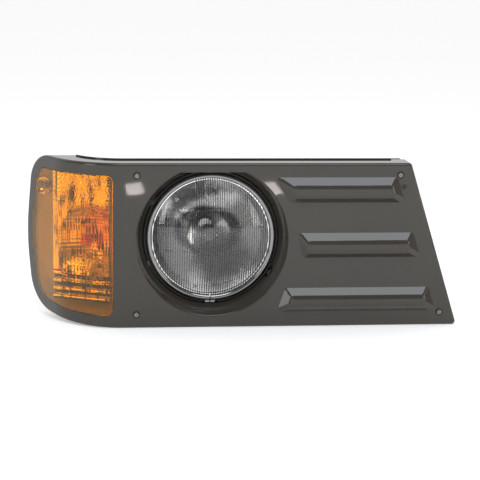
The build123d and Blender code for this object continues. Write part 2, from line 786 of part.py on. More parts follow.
def make_pivot_socket():
    """Nylon block on the panel, hollowed to cup the back of the ball."""
    x, z = pivot_spot
    half = socket_width / 2
    low = z - socket_height / 2
    high = z + socket_height / 2
    foot = half + socket_foot
    body = block(x - half, x + half, -pivot_plane + 0.5, -panel_wall, low, high)
    body += block(x - foot, x + foot, -panel_wall - 5, -panel_wall, low, high)
    body -= Pos(x, -pivot_plane, z) * Sphere(ball_radius + running_play)
    body -= rod_z(x, -pivot_plane, trunnion_radius + running_play, z - far / 2, z + far / 2)
    return body - rod_x(x - far / 2, x + far / 2, -pivot_plane, z, pin_radius + 1.5)


def housing_normal():
    """Direction out of the back of the signal housing."""
    return (sin(radians(signal_cant)), cos(radians(signal_cant)))


def housing_back(x):
    """Y of the signal housing's rear wall at an X."""
    right = -signal_right_x + signal_flange_width
    return housing_back_y + (right - x) * tan(radians(signal_cant))


def ahead_of_wall(depth):
    """Everything in front of the signal housing's rear wall, moved forwards by a depth."""
    normal = housing_normal()
    right = -signal_right_x + signal_flange_width
    origin = (right - normal[0] * depth, housing_back_y - normal[1] * depth, 0)
    plane = Plane(origin=origin, z_dir=(-normal[0], -normal[1], 0))
    return extrude(plane * Rectangle(2 * far, 2 * far), far)


def lamp_plane(spot, ahead):
    """Plane facing out of the signal lamp on a bulb's axis, ahead of the rear wall."""
    normal = housing_normal()
    x, z = spot
    origin = (x - normal[0] * ahead, housing_back(x) - normal[1] * ahead, z)
    return Plane(origin=origin, x_dir=(0, 0, 1), z_dir=(-normal[0], -normal[1], 0))


def barrel(spot, radius, start, end):
    """Round bar along a bulb's axis, distances measured forwards from the rear wall."""
    return extrude(lamp_plane(spot, start) * Circle(radius), end - start)


def make_signal_lens():
    """Amber moulding: shell that follows the bend, side walls and a hidden flange."""
    back = signal_flange_depth
    cap = signal_block(-lens_gap, -lens_proud) - plan_area(back)
    cap -= signal_block(-lens_gap - signal_lens_wall, signal_lens_wall - lens_proud)
    flange_front = bezel_wall + gasket_thickness
    flange = signal_block(signal_flange_width, flange_front) - plan_area(back)
    flange -= signal_block(-lens_gap - signal_lens_wall, 0)
    return cap + flange


def make_signal_gasket():
    """Foam gasket between the lens flange and the back of the bezel."""
    ring = signal_block(signal_flange_width, bezel_wall) - signal_block(0.2, 0)
    return ring - plan_area(bezel_wall + gasket_thickness)


def make_signal_housing():
    """Open-fronted box behind the lens, with two round holes for the bulb sockets."""
    outer = signal_block(signal_flange_width, signal_flange_depth) & ahead_of_wall(0)
    inner = signal_block(signal_flange_width - housing_wall, 0) & ahead_of_wall(housing_wall)
    box = outer - inner
    box = cut_socket_seat(box, turn_spot, turn_socket_radius)
    box = cut_socket_seat(box, marker_spot, marker_socket_radius)
    for z in (-signal_ear_z, signal_ear_z):
        box += make_ear(z)
    return box


def make_ear(z):
    """Screw ear on the right side of the signal housing."""
    right = -signal_right_x + signal_flange_width
    back = face_y + signal_ear_depth
    ear = block(right - 1, right + 10, back - housing_wall, back, z - 6, z + 6)
    return ear - rod(right + signal_screw_out, z, signal_screw_radius + 0.2, back - 10, back + 10)


def make_signal_screws():
    """Two screws through the housing ears."""
    x = -signal_right_x + signal_flange_width + signal_screw_out
    seat = face_y + signal_ear_depth
    screws = []
    for z in (-signal_ear_z, signal_ear_z):
        head = rod(x, z, screw_head_radius, seat, seat + screw_head_height)
        screws.append(head + rod(x, z, signal_screw_radius, seat - signal_screw_length, seat))
    return Compound(children=screws)


def three_lugs(reach, width, turn):
    """Three radial bars at equal angles, out to a radius."""
    bars = [Rot(0, 0, turn + 120 * i) * Pos(reach / 2, 0) * Rectangle(reach, width) for i in range(3)]
    return (bars[0] + bars[1] + bars[2]) & Circle(reach)


def cut_socket_seat(box, spot, radius):
    """Round seat for a bulb socket: boss, bore, lip and the three notches its lugs pass."""
    neck = radius - socket_lip
    collar = barrel(spot, radius + seat_rim, 0, housing_wall + socket_collar)
    box += collar & signal_block(-lens_gap - signal_lens_wall - moving_gap, 0)
    box += barrel(spot, radius + seat_rim, -seat_reach, housing_wall)
    box -= barrel(spot, neck, -10, housing_wall + 5)
    box -= barrel(spot, radius + socket_play, -10, -housing_wall)
    box -= barrel(spot, neck + socket_lug + socket_play, housing_wall, housing_wall + socket_collar + 1)
    notch = three_lugs(neck + socket_lug, lug_bar + 2 * socket_play, twist)
    return box - extrude(lamp_plane(spot, -housing_wall - 1) * notch, 2 * housing_wall + 2)


def make_socket(spot, radius):
    """Twist-lock bulb socket: neck with three lugs, flange, and a ribbed barrel behind."""
    neck = radius - socket_lip - socket_play
    flange_front = -housing_wall - seal_ring_section
    body = barrel(spot, neck, flange_front, housing_wall + socket_play + lug_sheet)
    body += barrel(spot, radius, flange_front - socket_flange, flange_front)
    back = flange_front - socket_length
    body += barrel(spot, radius * barrel_ratio, back, flange_front)
    lugs = three_lugs(neck + socket_lug, lug_bar, 0)
    body += extrude(lamp_plane(spot, housing_wall + socket_play) * lugs, lug_sheet)
    grips = three_lugs(radius * 0.9, grip_width, 60)
    grip_length = socket_length * 0.8
    body += extrude(lamp_plane(spot, flange_front - grip_length) * grips, grip_length)
    return body - barrel(spot, radius * barrel_ratio - 2.0, back - 1, back + socket_well)


def make_socket_seal(spot, radius):
    """Rubber ring squeezed between the socket's flange and the housing."""
    front = -housing_wall - running_play
    back = -housing_wall - seal_ring_section
    ring = barrel(spot, radius - 0.4, back, front)
    return ring - barrel(spot, radius - socket_lip - socket_play, back - 1, front + 1)


def make_contacts(spot, radius, count):
    """Contact blades inside the open back of a socket."""
    floor = -housing_wall - seal_ring_section - socket_length + socket_well
    pitch = radius * 0.42
    blades = []
    for i in range(count):
        shift = (i - (count - 1) / 2) * pitch
        blade = Pos(0, shift) * Rectangle(radius * 0.3, blade_sheet)
        blades.append(extrude(lamp_plane(spot, floor - blade_length) * blade, blade_length))
    return Compound(children=blades)


def make_bulb_base(spot, radius, tip):
    """Metal or plastic cap of a bulb, seated in its socket."""
    return barrel(spot, radius, housing_wall + socket_play + lug_sheet, tip)


def bulb_shape(spot, radius, neck, start, tip):
    """Solid pear shape of a bulb's glass."""
    stem = barrel(spot, neck, start, tip - radius)
    return stem + lamp_plane(spot, tip - radius) * Sphere(radius)


def make_bulb_glass(spot, radius, neck, start, tip):
    """Thin glass envelope of a bulb."""
    outer = bulb_shape(spot, radius, neck, start, tip)
    return outer - bulb_shape(spot, radius - glass_wall, neck - glass_wall, start + 1.5, tip - glass_wall)


def make_bulb_filament(spot, start, tip, span):
    """Filament across the bulb, on its two lead wires."""
    plane = lamp_plane(spot, tip)
    coil = plane * Rot(0, 90, 0) * Cylinder(lead_wire, span)
    reach = span / 2 - lead_wire / 2
    wire = Rectangle(lead_wire, lead_wire)
    wires = [extrude(lamp_plane(spot, start) * Pos(x, 0) * wire, tip - start) for x in (-reach, reach)]
    return coil + wires[0] + wires[1]


def signal_inside(clearance):
    """Free space inside the signal housing and lens."""
    lens_depth = signal_lens_wall - lens_proud + clearance
    inside = signal_block(-lens_gap - signal_lens_wall - clearance, lens_depth)
    return inside & ahead_of_wall(housing_wall + clearance)


def bowl_solid(spot, radius, depth, vertex):
    """Solid paraboloid, open end forwards, its vertex ahead of the rear wall."""
    steps = 8
    points = [(radius * i / steps, depth * (i / steps) ** 2) for i in range(steps + 1)]
    area = make_face(Spline(*points) + Polyline(points[-1], (0, depth), points[0]))
    plane = lamp_plane(spot, vertex)
    upright = Plane(origin=plane.origin, x_dir=plane.x_dir, z_dir=plane.y_dir.reverse())
    return revolve(upright * area, Axis(plane.origin, plane.z_dir))


def make_signal_reflector():
    """Bright bowl round the turn bulb, in a front plate cut to the inside of the housing."""
    vertex = housing_wall + bowl_vertex
    rim = vertex + bowl_depth
    inside = signal_inside(0.6)
    hollow = bowl_solid(turn_spot, bowl_radius, bowl_depth, vertex)
    skin = bowl_solid(turn_spot, bowl_radius + bowl_wall, bowl_depth + bowl_wall, vertex - bowl_wall)
    plate = (inside & ahead_of_wall(rim - bowl_wall)) - ahead_of_wall(rim)
    body = (inside & skin) + plate - hollow
    body -= barrel(turn_spot, turn_base_radius + 1.5, 0, rim)
    return body - barrel(marker_spot, marker_bowl_radius + 2.5, 0, far / 2)


def make_marker_reflector():
    """Small bright bowl round the marker bulb, standing on its socket's collar."""
    start = housing_wall + socket_collar
    rim = start + marker_bowl_depth
    outer = barrel(marker_spot, marker_bowl_radius, start, rim)
    bowl = bowl_solid(marker_spot, marker_bowl_radius - bowl_wall / 2, marker_bowl_depth, start + 1.0)
    body = (outer - bowl) & signal_inside(moving_gap)
    return body - barrel(marker_spot, marker_bulb_radius + 1.5, 0, rim)


turn_neck = turn_base_radius - 0.8
marker_neck = marker_base_radius - 0.4
nodes = {
    "bezel": make_bezel(),
    "bezel_screws": at_screws(make_bezel_screw),
    "screw_washers": at_screws(make_washer),
    "boss_inserts": at_screws(make_insert),
    "face_plug": make_plug(),
    "mounting_panel": make_panel(),
    "mounting_studs": make_studs(),
    "panel_seal": make_seal(),
    "headlamp_lens": make_headlamp_lens(),
    "headlamp_reflector": make_headlamp_reflector(),
    "headlamp_capsule": make_capsule(),
    "headlamp_filament": make_filament(),
    "glare_shield": make_shield(),
    "capsule_posts": make_posts(),
    "headlamp_base": make_lamp_base(),
    "headlamp_prongs": make_prongs(),
    "retaining_ring": make_retaining_ring(),
    "ring_clamp_screw": make_clamp_screw(),
    "seat_ring": make_seat_ring(),
    "aim_nuts": make_aim_nuts(),
    "pivot_yoke": make_pivot_yoke(),
    "pivot_ball": make_pivot_ball(),
    "pivot_socket": make_pivot_socket(),
    "vertical_aim_screw": make_aim_screw(*vertical_spot),
    "horizontal_aim_screw": make_aim_screw(*horizontal_spot),
    "aim_bushes": make_bushes(),
    "signal_lens": make_signal_lens(),
    "signal_gasket": make_signal_gasket(),
    "signal_housing": make_signal_housing(),
    "signal_reflector": make_signal_reflector(),
    "marker_reflector": make_marker_reflector(),
    "signal_screws": make_signal_screws(),
    "turn_socket": make_socket(turn_spot, turn_socket_radius),
    "turn_socket_seal": make_socket_seal(turn_spot, turn_socket_radius),
    "turn_contacts": make_contacts(turn_spot, turn_socket_radius, 3),
    "turn_bulb_base": make_bulb_base(turn_spot, turn_base_radius, turn_base_tip),
    "turn_bulb_glass": make_bulb_glass(
        turn_spot, turn_bulb_radius, turn_neck, turn_base_tip, turn_bulb_tip),
    "turn_bulb_filament": make_bulb_filament(
        turn_spot, turn_base_tip + 1.5, turn_bulb_tip - turn_bulb_radius, 6.0),
    "marker_socket": make_socket(marker_spot, marker_socket_radius),
    "marker_socket_seal": make_socket_seal(marker_spot, marker_socket_radius),
    "marker_contacts": make_contacts(marker_spot, marker_socket_radius, 2),
    "marker_bulb_base": make_bulb_base(marker_spot, marker_base_radius, marker_base_tip),
    "marker_bulb_glass": make_bulb_glass(
        marker_spot, marker_bulb_radius, marker_neck, marker_base_tip, marker_bulb_tip),
    "marker_bulb_filament": make_bulb_filament(
        marker_spot, marker_base_tip + 1.5, marker_bulb_tip - marker_bulb_radius, 3.0),
}
for name, shape in nodes.items():
    export_step(shape, f"parts/{name}.step")
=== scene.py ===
from math import cos, pi, radians, sin, sqrt

import bmesh
import bpy
import numpy as np
from mathutils import Matrix, Vector


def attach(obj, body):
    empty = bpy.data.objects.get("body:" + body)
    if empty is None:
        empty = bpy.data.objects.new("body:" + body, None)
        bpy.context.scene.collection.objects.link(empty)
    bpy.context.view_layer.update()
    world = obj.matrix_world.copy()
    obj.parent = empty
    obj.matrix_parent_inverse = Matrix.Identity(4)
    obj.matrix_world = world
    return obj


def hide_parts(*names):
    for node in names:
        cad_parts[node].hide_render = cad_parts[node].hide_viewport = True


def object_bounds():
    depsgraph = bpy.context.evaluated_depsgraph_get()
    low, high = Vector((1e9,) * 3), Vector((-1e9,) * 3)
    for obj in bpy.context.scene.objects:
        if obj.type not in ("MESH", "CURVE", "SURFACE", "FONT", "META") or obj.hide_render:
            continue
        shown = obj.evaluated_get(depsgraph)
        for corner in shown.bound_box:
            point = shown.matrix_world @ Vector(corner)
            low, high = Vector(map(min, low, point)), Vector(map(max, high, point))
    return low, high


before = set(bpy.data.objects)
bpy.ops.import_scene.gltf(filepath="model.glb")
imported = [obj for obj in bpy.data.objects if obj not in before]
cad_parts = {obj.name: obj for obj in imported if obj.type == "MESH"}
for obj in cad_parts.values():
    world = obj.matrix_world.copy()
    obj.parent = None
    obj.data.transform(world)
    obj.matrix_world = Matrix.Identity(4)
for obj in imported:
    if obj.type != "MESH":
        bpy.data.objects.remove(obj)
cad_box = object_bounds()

mm = 0.001

# The camera stands 2.3 m in front of the headlight, a little to its left and above it, on a
# long lens, as for a catalogue picture.
view_turn = radians(6.5)
view_rise = radians(11.5)
view_roll = radians(0.95)
view_distance = 2.3
view_target = Vector((0.030, -0.072, 0.0))
back = Vector((-sin(view_turn) * cos(view_rise), -cos(view_turn) * cos(view_rise), sin(view_rise)))
level = Vector((cos(view_turn), -sin(view_turn), 0.0))
upright = back.cross(level)
side = level * cos(view_roll) + upright * sin(view_roll)
crown = upright * cos(view_roll) - level * sin(view_roll)
camera_data = bpy.data.cameras.new("camera")
camera_data.sensor_width = 36.0
camera_data.lens = 122.5
camera_data.shift_x = 0.0125
camera_data.shift_y = 0.002
camera = bpy.data.objects.new("camera", camera_data)
camera.matrix_world = Matrix.Translation(view_target + back * view_distance) @ Matrix(
    (side, crown, back)).transposed().to_4x4()
bpy.context.scene.collection.objects.link(camera)
bpy.context.scene.camera = camera
bpy.context.scene.view_settings.view_transform = "Standard"


# Studio: pale paper floor and surroundings that are white behind the headlight and above it,
# and dimmer where the photographer stands, so that glass and mirror have something dark to show.
def srgb(code):
    """Linear colour of a display colour given as six hex digits."""
    parts = [int(code[i:i + 2], 16) / 255 for i in (0, 2, 4)]
    parts = [p / 12.92 if p <= 0.04045 else ((p + 0.055) / 1.055) ** 2.4 for p in parts]
    return (*parts, 1.0)


def add(tree, kind, settings=None, links=None):
    """Adds one node: settings are its own properties or its sockets' values, links its inputs."""
    made = tree.nodes.new(kind)
    for key, value in (settings or {}).items():
        if isinstance(key, str) and hasattr(made, key):
            setattr(made, key, value)
        else:
            made.inputs[key].default_value = value
    for key, source in (links or {}).items():
        tree.links.new(source, made.inputs[key])
    return made


def new_material(name, settings):
    """A material of one principled shader, set by its sockets' names."""
    made = bpy.data.materials.new(name)
    made.use_nodes = True
    shader = made.node_tree.nodes["Principled BSDF"]
    for socket, value in settings.items():
        shader.inputs[socket].default_value = value
    return made, made.node_tree, shader


def set_ramp(ramp, stops):
    """Puts (place, colour code) stops on a colour ramp."""
    elements = ramp.color_ramp.elements
    while len(elements) < len(stops):
        elements.new(0.5)
    for element, (place, code) in zip(elements, stops):
        element.position = place
        element.color = srgb(code)


world = bpy.data.worlds.new("studio")
world.use_nodes = True
bpy.context.scene.world = world
sky = world.node_tree
sky_dir = add(sky, "ShaderNodeTexCoord")
sky_split = add(sky, "ShaderNodeSeparateXYZ", None, {"Vector": sky_dir.outputs["Generated"]})
sky_front = add(
    sky, "ShaderNodeMapRange", {"From Min": -1.0, "From Max": 0.35, "interpolation_type": "SMOOTHSTEP"},
    {"Value": sky_split.outputs["Y"]})
sky_ramp = add(sky, "ShaderNodeValToRGB", None, {"Fac": sky_front.outputs["Result"]})
set_ramp(sky_ramp, [(0.0, "8d8e90"), (0.8, "a6a7a8"), (1.0, "ffffff")])
sky_node = sky.nodes["Background"]
sky.links.new(sky_ramp.outputs["Color"], sky_node.inputs["Color"])
sky_node.inputs["Strength"].default_value = 1.0

floor_height = cad_box[0][2] - 0.0002
floor_mesh = bpy.data.meshes.new("paper_floor")
floor_mesh.from_pydata(
    [(x, y, floor_height) for x, y in ((-30, -30), (30, -30), (30, 30), (-30, 30))], [], [(0, 1, 2, 3)])
floor = bpy.data.objects.new("paper_floor", floor_mesh)
bpy.context.scene.collection.objects.link(floor)
paper, tree, shader = new_material("matt_white_paper", {
    "Base Color": srgb("fafafa"), "Roughness": 0.9, "Specular IOR Level": 0.1,
    "Emission Color": srgb("ffffff"), "Emission Strength": 0.34})
floor_mesh.materials.append(paper)


def softbox(name, place, aim, width, height, power, colour):
    """Rectangular area light at a place, turned to face a point."""
    data = bpy.data.lights.new(name, "AREA")
    data.shape = "RECTANGLE"
    data.size = width
    data.size_y = height
    data.energy = power
    data.color = srgb(colour)[:3]
    lamp = bpy.data.objects.new(name, data)
    lamp.location = place
    lamp.rotation_euler = (Vector(aim) - Vector(place)).to_track_quat("-Z", "Y").to_euler()
    bpy.context.scene.collection.objects.link(lamp)


softbox("top_softbox", (0.2, -1.3, 2.0), (0.05, 0, 0), 1.6, 1.0, 22, "f2f7ff")
softbox("left_softbox", (-2.0, -1.6, 0.7), (0, 0, 0), 0.7, 1.2, 9, "ffffff")
softbox("right_softbox", (2.1, -1.5, 0.6), (0, 0, 0), 0.6, 1.2, 8, "fff8f0")


# Two small bright cards lie on the floor in front, out of view. The bezel's flat face mirrors
# them as pale patches on either side of the lamp.
card_paper, tree, shader = new_material("lit_card", {
    "Base Color": srgb("ffffff"), "Emission Color": srgb("fff4f4"), "Emission Strength": 11.0})
card_lift = 1.0
card_near = -1290
card_skew = 30
for card_name, left, right, card_far in (("card_left", -67, -33, -1160), ("card_right", 205, 258, -1150)):
    card_corners = (
        (left, card_near), (right, card_near - card_skew), (right, card_far - card_skew), (left, card_far))
    card_mesh = bpy.data.meshes.new(card_name)
    card_mesh.from_pydata(
        [(x * mm, y * mm, floor_height + card_lift * mm) for x, y in card_corners], [], [(0, 1, 2, 3)])
    card_mesh.materials.append(card_paper)
    card = bpy.data.objects.new(card_name, card_mesh)
    bpy.context.scene.collection.objects.link(card)


# Bezel: one large injection moulding in ABS, painted dark warm grey under a clear gloss coat.
# Its shape comes straight from the frame. The coat has the faint waviness of sprayed paint.
def dress(names, material):
    """Puts a material on carried-over frame nodes."""
    for name in names:
        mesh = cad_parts[name].data
        mesh.materials.clear()
        mesh.materials.append(material)


def object_coords(tree, scale=(1, 1, 1)):
    """Object coordinates, stretched."""
    coords = add(tree, "ShaderNodeTexCoord")
    mapping = add(tree, "ShaderNodeMapping", {"Scale": scale}, {"Vector": coords.outputs["Object"]})
    return mapping.outputs["Vector"]


def noise(tree, spacing, detail=3.0, scale=(1, 1, 1)):
    """Noise whose lumps are a given size in metres."""
    return add(tree, "ShaderNodeTexNoise", {"Scale": 1 / spacing, "Detail": detail},
               {"Vector": object_coords(tree, scale)}).outputs["Fac"]


def between(tree, value, low, high, start=0.3, end=0.7):
    """A value moved from one range to another."""
    limits = {"From Min": start, "From Max": end, "To Min": low, "To Max": high}
    return add(tree, "ShaderNodeMapRange", limits, {"Value": value}).outputs["Result"]


def tint(tree, value, stops):
    """A value turned to a colour on a ramp."""
    ramp = add(tree, "ShaderNodeValToRGB", None, {"Fac": value})
    set_ramp(ramp, stops)
    return ramp.outputs["Color"]


def bump(tree, value, height):
    """A value used as the height of fine relief, in metres."""
    made = add(tree, "ShaderNodeBump", {"Strength": 1.0, "Distance": height}, {"Height": value})
    return made.outputs["Normal"]


paint, tree, shader = new_material("gloss_grey_paint_on_abs", {
    "Roughness": 0.5, "Specular IOR Level": 0.0,
    "Coat Weight": 1.0, "Coat Roughness": 0.03, "Coat IOR": 1.5})
paint_colour = tint(tree, noise(tree, 120 * mm, 2.0), [(0.3, "39352f"), (0.7, "3d3933")])
tree.links.new(paint_colour, shader.inputs["Base Color"])
tree.links.new(bump(tree, noise(tree, 2.5 * mm, 1.0), 0.002 * mm), shader.inputs["Coat Normal"])
dress(["bezel"], paint)

# Bezel screws and their washers: four pan-head steel screws with a cross recess, seated on
# black nylon washers sunk in the face, and a small black plug above the last of them.
steel, tree, shader = new_material("plain_steel_screw", {"Metallic": 1.0, "Base Color": srgb("8f897d")})
tree.links.new(between(tree, noise(tree, 0.8 * mm), 0.22, 0.42), shader.inputs["Roughness"])
dress(["bezel_screws", "signal_screws"], steel)

nylon_black, tree, shader = new_material("black_moulded_nylon", {"Base Color": srgb("1b1b1c"), "IOR": 1.53})
tree.links.new(between(tree, noise(tree, 1.2 * mm), 0.4, 0.6), shader.inputs["Roughness"])
tree.links.new(bump(tree, noise(tree, 0.5 * mm), 0.02 * mm), shader.inputs["Normal"])
dress(["screw_washers", "face_plug"], nylon_black)

brass, tree, shader = new_material("turned_brass", {"Metallic": 1.0, "Base Color": srgb("d9b36a")})
tree.links.new(between(tree, noise(tree, 1.0 * mm), 0.2, 0.4), shader.inputs["Roughness"])
dress(["boss_inserts", "headlamp_prongs", "turn_contacts", "marker_contacts", "turn_bulb_base"], brass)

# Mounting panel: black glass-filled nylon tray behind the lamp and ribs, with a fine moulded
# grain, four zinc-plated steel studs and a foam strip squeezed against the vehicle.
panel_plastic, tree, shader = new_material("black_glass_filled_nylon", {"IOR": 1.53})
panel_colour = tint(tree, noise(tree, 30 * mm), [(0.3, "1a1a1b"), (0.7, "232324")])
tree.links.new(panel_colour, shader.inputs["Base Color"])
tree.links.new(between(tree, noise(tree, 4 * mm), 0.45, 0.62), shader.inputs["Roughness"])
tree.links.new(bump(tree, noise(tree, 0.6 * mm, 2.0), 0.05 * mm), shader.inputs["Normal"])
dress(["mounting_panel"], panel_plastic)

foam, tree, shader = new_material("closed_cell_foam", {"Base Color": srgb("202021"), "Roughness": 0.95})
pores = add(tree, "ShaderNodeTexVoronoi", {"Scale": 1 / (1.2 * mm)}, {"Vector": object_coords(tree)})
tree.links.new(bump(tree, pores.outputs["Distance"], 0.3 * mm), shader.inputs["Normal"])
dress(["panel_seal", "signal_gasket"], foam)

zinc, tree, shader = new_material("zinc_plated_steel", {"Metallic": 1.0})
zinc_colour = tint(tree, noise(tree, 6 * mm), [(0.3, "a9adb0"), (0.7, "c3c6c8")])
tree.links.new(zinc_colour, shader.inputs["Base Color"])
tree.links.new(between(tree, noise(tree, 1.5 * mm), 0.25, 0.45), shader.inputs["Roughness"])
dress(["mounting_studs", "pivot_yoke"], zinc)

# Sealed-beam lamp: a pressed glass bowl, silvered inside with an aluminium film, and a pressed
# glass lens fused to it. The bowl is a paraboloid: distance along the axis grows with the
# square of the radius, over four times the focal length.
bowl_focus = 27.0
bowl_vertex_y = 28.0
bowl_rim_radius = 83.0
flange_radius = 88.45
bowl_glass = 3.0
bowl_flange_front = -39.0
bowl_flange_back = -36.1


def grid_faces(rows, columns, wrap_rows=False, wrap_columns=False):
    """Quads that join each point of a grid to its neighbours, as numbers of points."""
    row, column = np.meshgrid(
        np.arange(rows - (not wrap_rows)), np.arange(columns - (not wrap_columns)), indexing="ij")
    here, under = row * columns, (row + 1) % rows * columns
    right = (column + 1) % columns
    return np.stack([here + column, here + right, under + right, under + column], -1).reshape(-1, 4)


def build(name, parts, body, materials, sharp=35.0, marks=None):
    """One piece from (points in mm, quads) parts: joined, doubles merged, faces turned outwards."""
    points, quads, start = [], [], 0
    for part_points, part_quads in parts:
        flat = np.asarray(part_points, float).reshape(-1, 3)
        points.append(flat)
        quads.append(np.asarray(part_quads) + start)
        start += len(flat)
    mesh = bpy.data.meshes.new(name)
    mesh.from_pydata((np.concatenate(points) * mm).tolist(), [], np.concatenate(quads).tolist())
    if marks is not None:
        mesh.polygons.foreach_set("material_index", marks)
    for material in materials:
        mesh.materials.append(material)
    shape = bmesh.new()
    shape.from_mesh(mesh)
    bmesh.ops.remove_doubles(shape, verts=shape.verts, dist=0.002 * mm)
    bmesh.ops.dissolve_degenerate(shape, edges=shape.edges, dist=0.001 * mm)
    bmesh.ops.recalc_face_normals(shape, faces=shape.faces)
    shape.to_mesh(mesh)
    shape.free()
    mesh.shade_smooth()
    mesh.set_sharp_from_angle(angle=radians(sharp))
    piece = bpy.data.objects.new(name, mesh)
    bpy.context.scene.collection.objects.link(piece)
    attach(piece, body)
    return piece


def turned(profile, steps=128, centre=(0.0, 0.0)):
    """A closed (radius, y) profile carried round the Y axis through an X, Z centre."""
    radius, y = np.array(profile, float).T
    angle = np.linspace(0, 2 * pi, steps, endpoint=False)[:, None]
    x = centre[0] + radius * np.cos(angle)
    z = centre[1] + radius * np.sin(angle)
    return np.stack([x, y + 0 * angle, z], -1), grid_faces(steps, len(radius), True, True)


# The film's colour is a painted reflection: a dark elliptical ring round the lamp's axis, pale inside and
# outside it, set out in object coordinates.
film, tree, shader = new_material("aluminium_film_painted_reflection", {"Metallic": 1.0})
tree.links.new(between(tree, noise(tree, 9 * mm), 0.10, 0.17), shader.inputs["Roughness"])
painted_ring_half_width = 44 * mm
painted_ring_half_height = 31 * mm
painted_ring_place = object_coords(tree, (1 / painted_ring_half_width, 0, 1 / painted_ring_half_height))
painted_ring_reach = add(tree, "ShaderNodeVectorMath", {"operation": "LENGTH"}, {0: painted_ring_place})
tree.links.new(tint(tree, between(tree, painted_ring_reach.outputs["Value"], 0, 1, 0, 2.2), [
    (0.25, "e9e9e8"), (0.38, "a9a9aa"), (0.45, "5c5c5d"), (0.54, "f6f6f5"), (0.95, "fdfdfd")]),
    shader.inputs["Base Color"])
inner_radius = np.linspace(0.0, bowl_rim_radius, 60)
inner_wall = [(r, bowl_vertex_y - r * r / (4 * bowl_focus)) for r in inner_radius]
outer_wall = [(r + bowl_glass * r / bowl_rim_radius * 0.8, y + bowl_glass) for r, y in inner_wall[::-1]]
bowl_flange = [
    (bowl_rim_radius, bowl_flange_front),
    (flange_radius, bowl_flange_front),
    (flange_radius, bowl_flange_back),
]
bowl_profile = inner_wall + bowl_flange + outer_wall
bowl = build("headlamp_bowl", [turned(bowl_profile, 160)], "headlamp", [film])
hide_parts("headlamp_reflector")

# Its lens is pressed with vertical flutes and blocks of prisms inside, which spread the beam;
# outside it is a smooth dome with three aiming nubs and a plain pad at the top.
lens_rim_y = -43.0
lens_edge = 82.4
dome_radius = 165.7
lens_glass = 3.6
dome_drop = sqrt(dome_radius ** 2 - lens_edge ** 2)


def dome(x, z):
    """Y of the lens's outer face: a sphere's cap."""
    return lens_rim_y - (np.sqrt(np.maximum(dome_radius ** 2 - x * x - z * z, 0)) - dome_drop)


flute_softening = 0.45


def scallop(place, pitch, depth):
    """Row of hollow flutes: in each pitch the depth follows a parabola, deepest in its middle."""
    phase = (place / pitch) % 1.0
    return flute_softening * depth * (1 - (2 * phase - 1) ** 2)


def lens_relief(x, z):
    """Depth of the pattern inside the lens, by blocks with their own pitch, depth and tilt."""
    radial = np.hypot(x, z)
    choices = [
        (np.abs(x) < 9) & (z > 60) & (z < 76),
        (z > 40) & (x < -22),
        (z > 30) & (x < -22),
        (z > 40),
        (x < -34) & (z > 3),
        (x < -34) & (z > -18),
        (x > 40) & (z > 4) & (z < 16),
        (x > 40) & (z > -6) & (z <= 4),
        (np.abs(x) <= 40) & (z > -16),
        (np.abs(x) <= 34) & (z > -28),
        (z > -16),
    ]
    reliefs = [
        0.0 * x,
        scallop(x, 3.4, 0.05) + 0.010 * (z - 40),
        scallop(x, 3.4, 0.10) + 0.02 * (z - 30),
        scallop(x, 2.8, 0.26),
        scallop(x, 4.2, 0.22) + scallop(z, 12.0, 0.15),
        scallop(x, 5.6, 0.35) + 0.03 * z,
        scallop(x, 6.0, 0.10) + 0.025 * z,
        scallop(x, 3.2, 0.06) - 0.04 * z,
        scallop(x, 3.0, 0.12) + 0.01 * np.abs(z),
        scallop(x, 5.4, 0.42),
        scallop(x, 3.2, 0.26),
    ]
    relief = np.select(choices, reliefs, scallop(x, 3.3, 0.27))
    fade = np.clip((lens_edge - 1.5 - radial) / 1.5, 0, 1)
    return relief * fade


columns, rows = 440, 90
across = lens_edge * np.sin(np.linspace(-pi / 2, pi / 2, columns))
height = np.sqrt(np.maximum(lens_edge ** 2 - across ** 2, 0))
lens_x = np.repeat(across[None, :], rows, 0)
lens_z = np.linspace(-1, 1, rows)[:, None] * height[None, :]
pad = 0.35 * ((np.abs(lens_x) < 9) & (lens_z > 60) & (lens_z < 76))
front_face = np.stack([lens_x, dome(lens_x, lens_z) - pad, lens_z], -1)
rear_face = np.stack([lens_x, dome(lens_x, lens_z) + lens_glass - lens_relief(lens_x, lens_z), lens_z], -1)
edge_quads = grid_faces(2, columns)
glass, tree, shader = new_material("pressed_clear_glass_painted_stripes", {
    "Base Color": srgb("f6f8f8"), "Transmission Weight": 1.0, "IOR": 1.5, "Roughness": 0.015})
# The glass's colour carries painted light and shade: vertical pale and grey stripes at the flute pitch. They
# are left off in the plain top-left corner.
flute_pitch = 3.3 * mm
waves_per_unit = 20 / (2 * pi)    # of a wave texture at scale 1
painted_flute_stripes = add(tree, "ShaderNodeTexWave", {
    "wave_type": "BANDS", "bands_direction": "X", "Scale": 1 / (waves_per_unit * flute_pitch)},
    {"Vector": object_coords(tree)})
lens_split = add(tree, "ShaderNodeSeparateXYZ", None, {"Vector": object_coords(tree)})
corner_x = between(tree, lens_split.outputs["X"], 0.0, 1.0, -23 * mm, -22 * mm)
corner_z = between(tree, lens_split.outputs["Z"], 1.0, 0.0, 29 * mm, 30 * mm)
plain_corner = add(tree, "ShaderNodeMath", {"operation": "MAXIMUM"}, {0: corner_x, 1: corner_z})
painted_stripe_amount = add(tree, "ShaderNodeMath", {"operation": "MULTIPLY"}, {
    0: painted_flute_stripes.outputs["Fac"], 1: plain_corner.outputs["Value"]})
tree.links.new(tint(tree, painted_stripe_amount.outputs["Value"], [(0.3, "ffffff"), (0.9, "b4b3b1")]),
               shader.inputs["Base Color"])
nub_circle = 74.0
nub_radius = 3.0
nubs = []
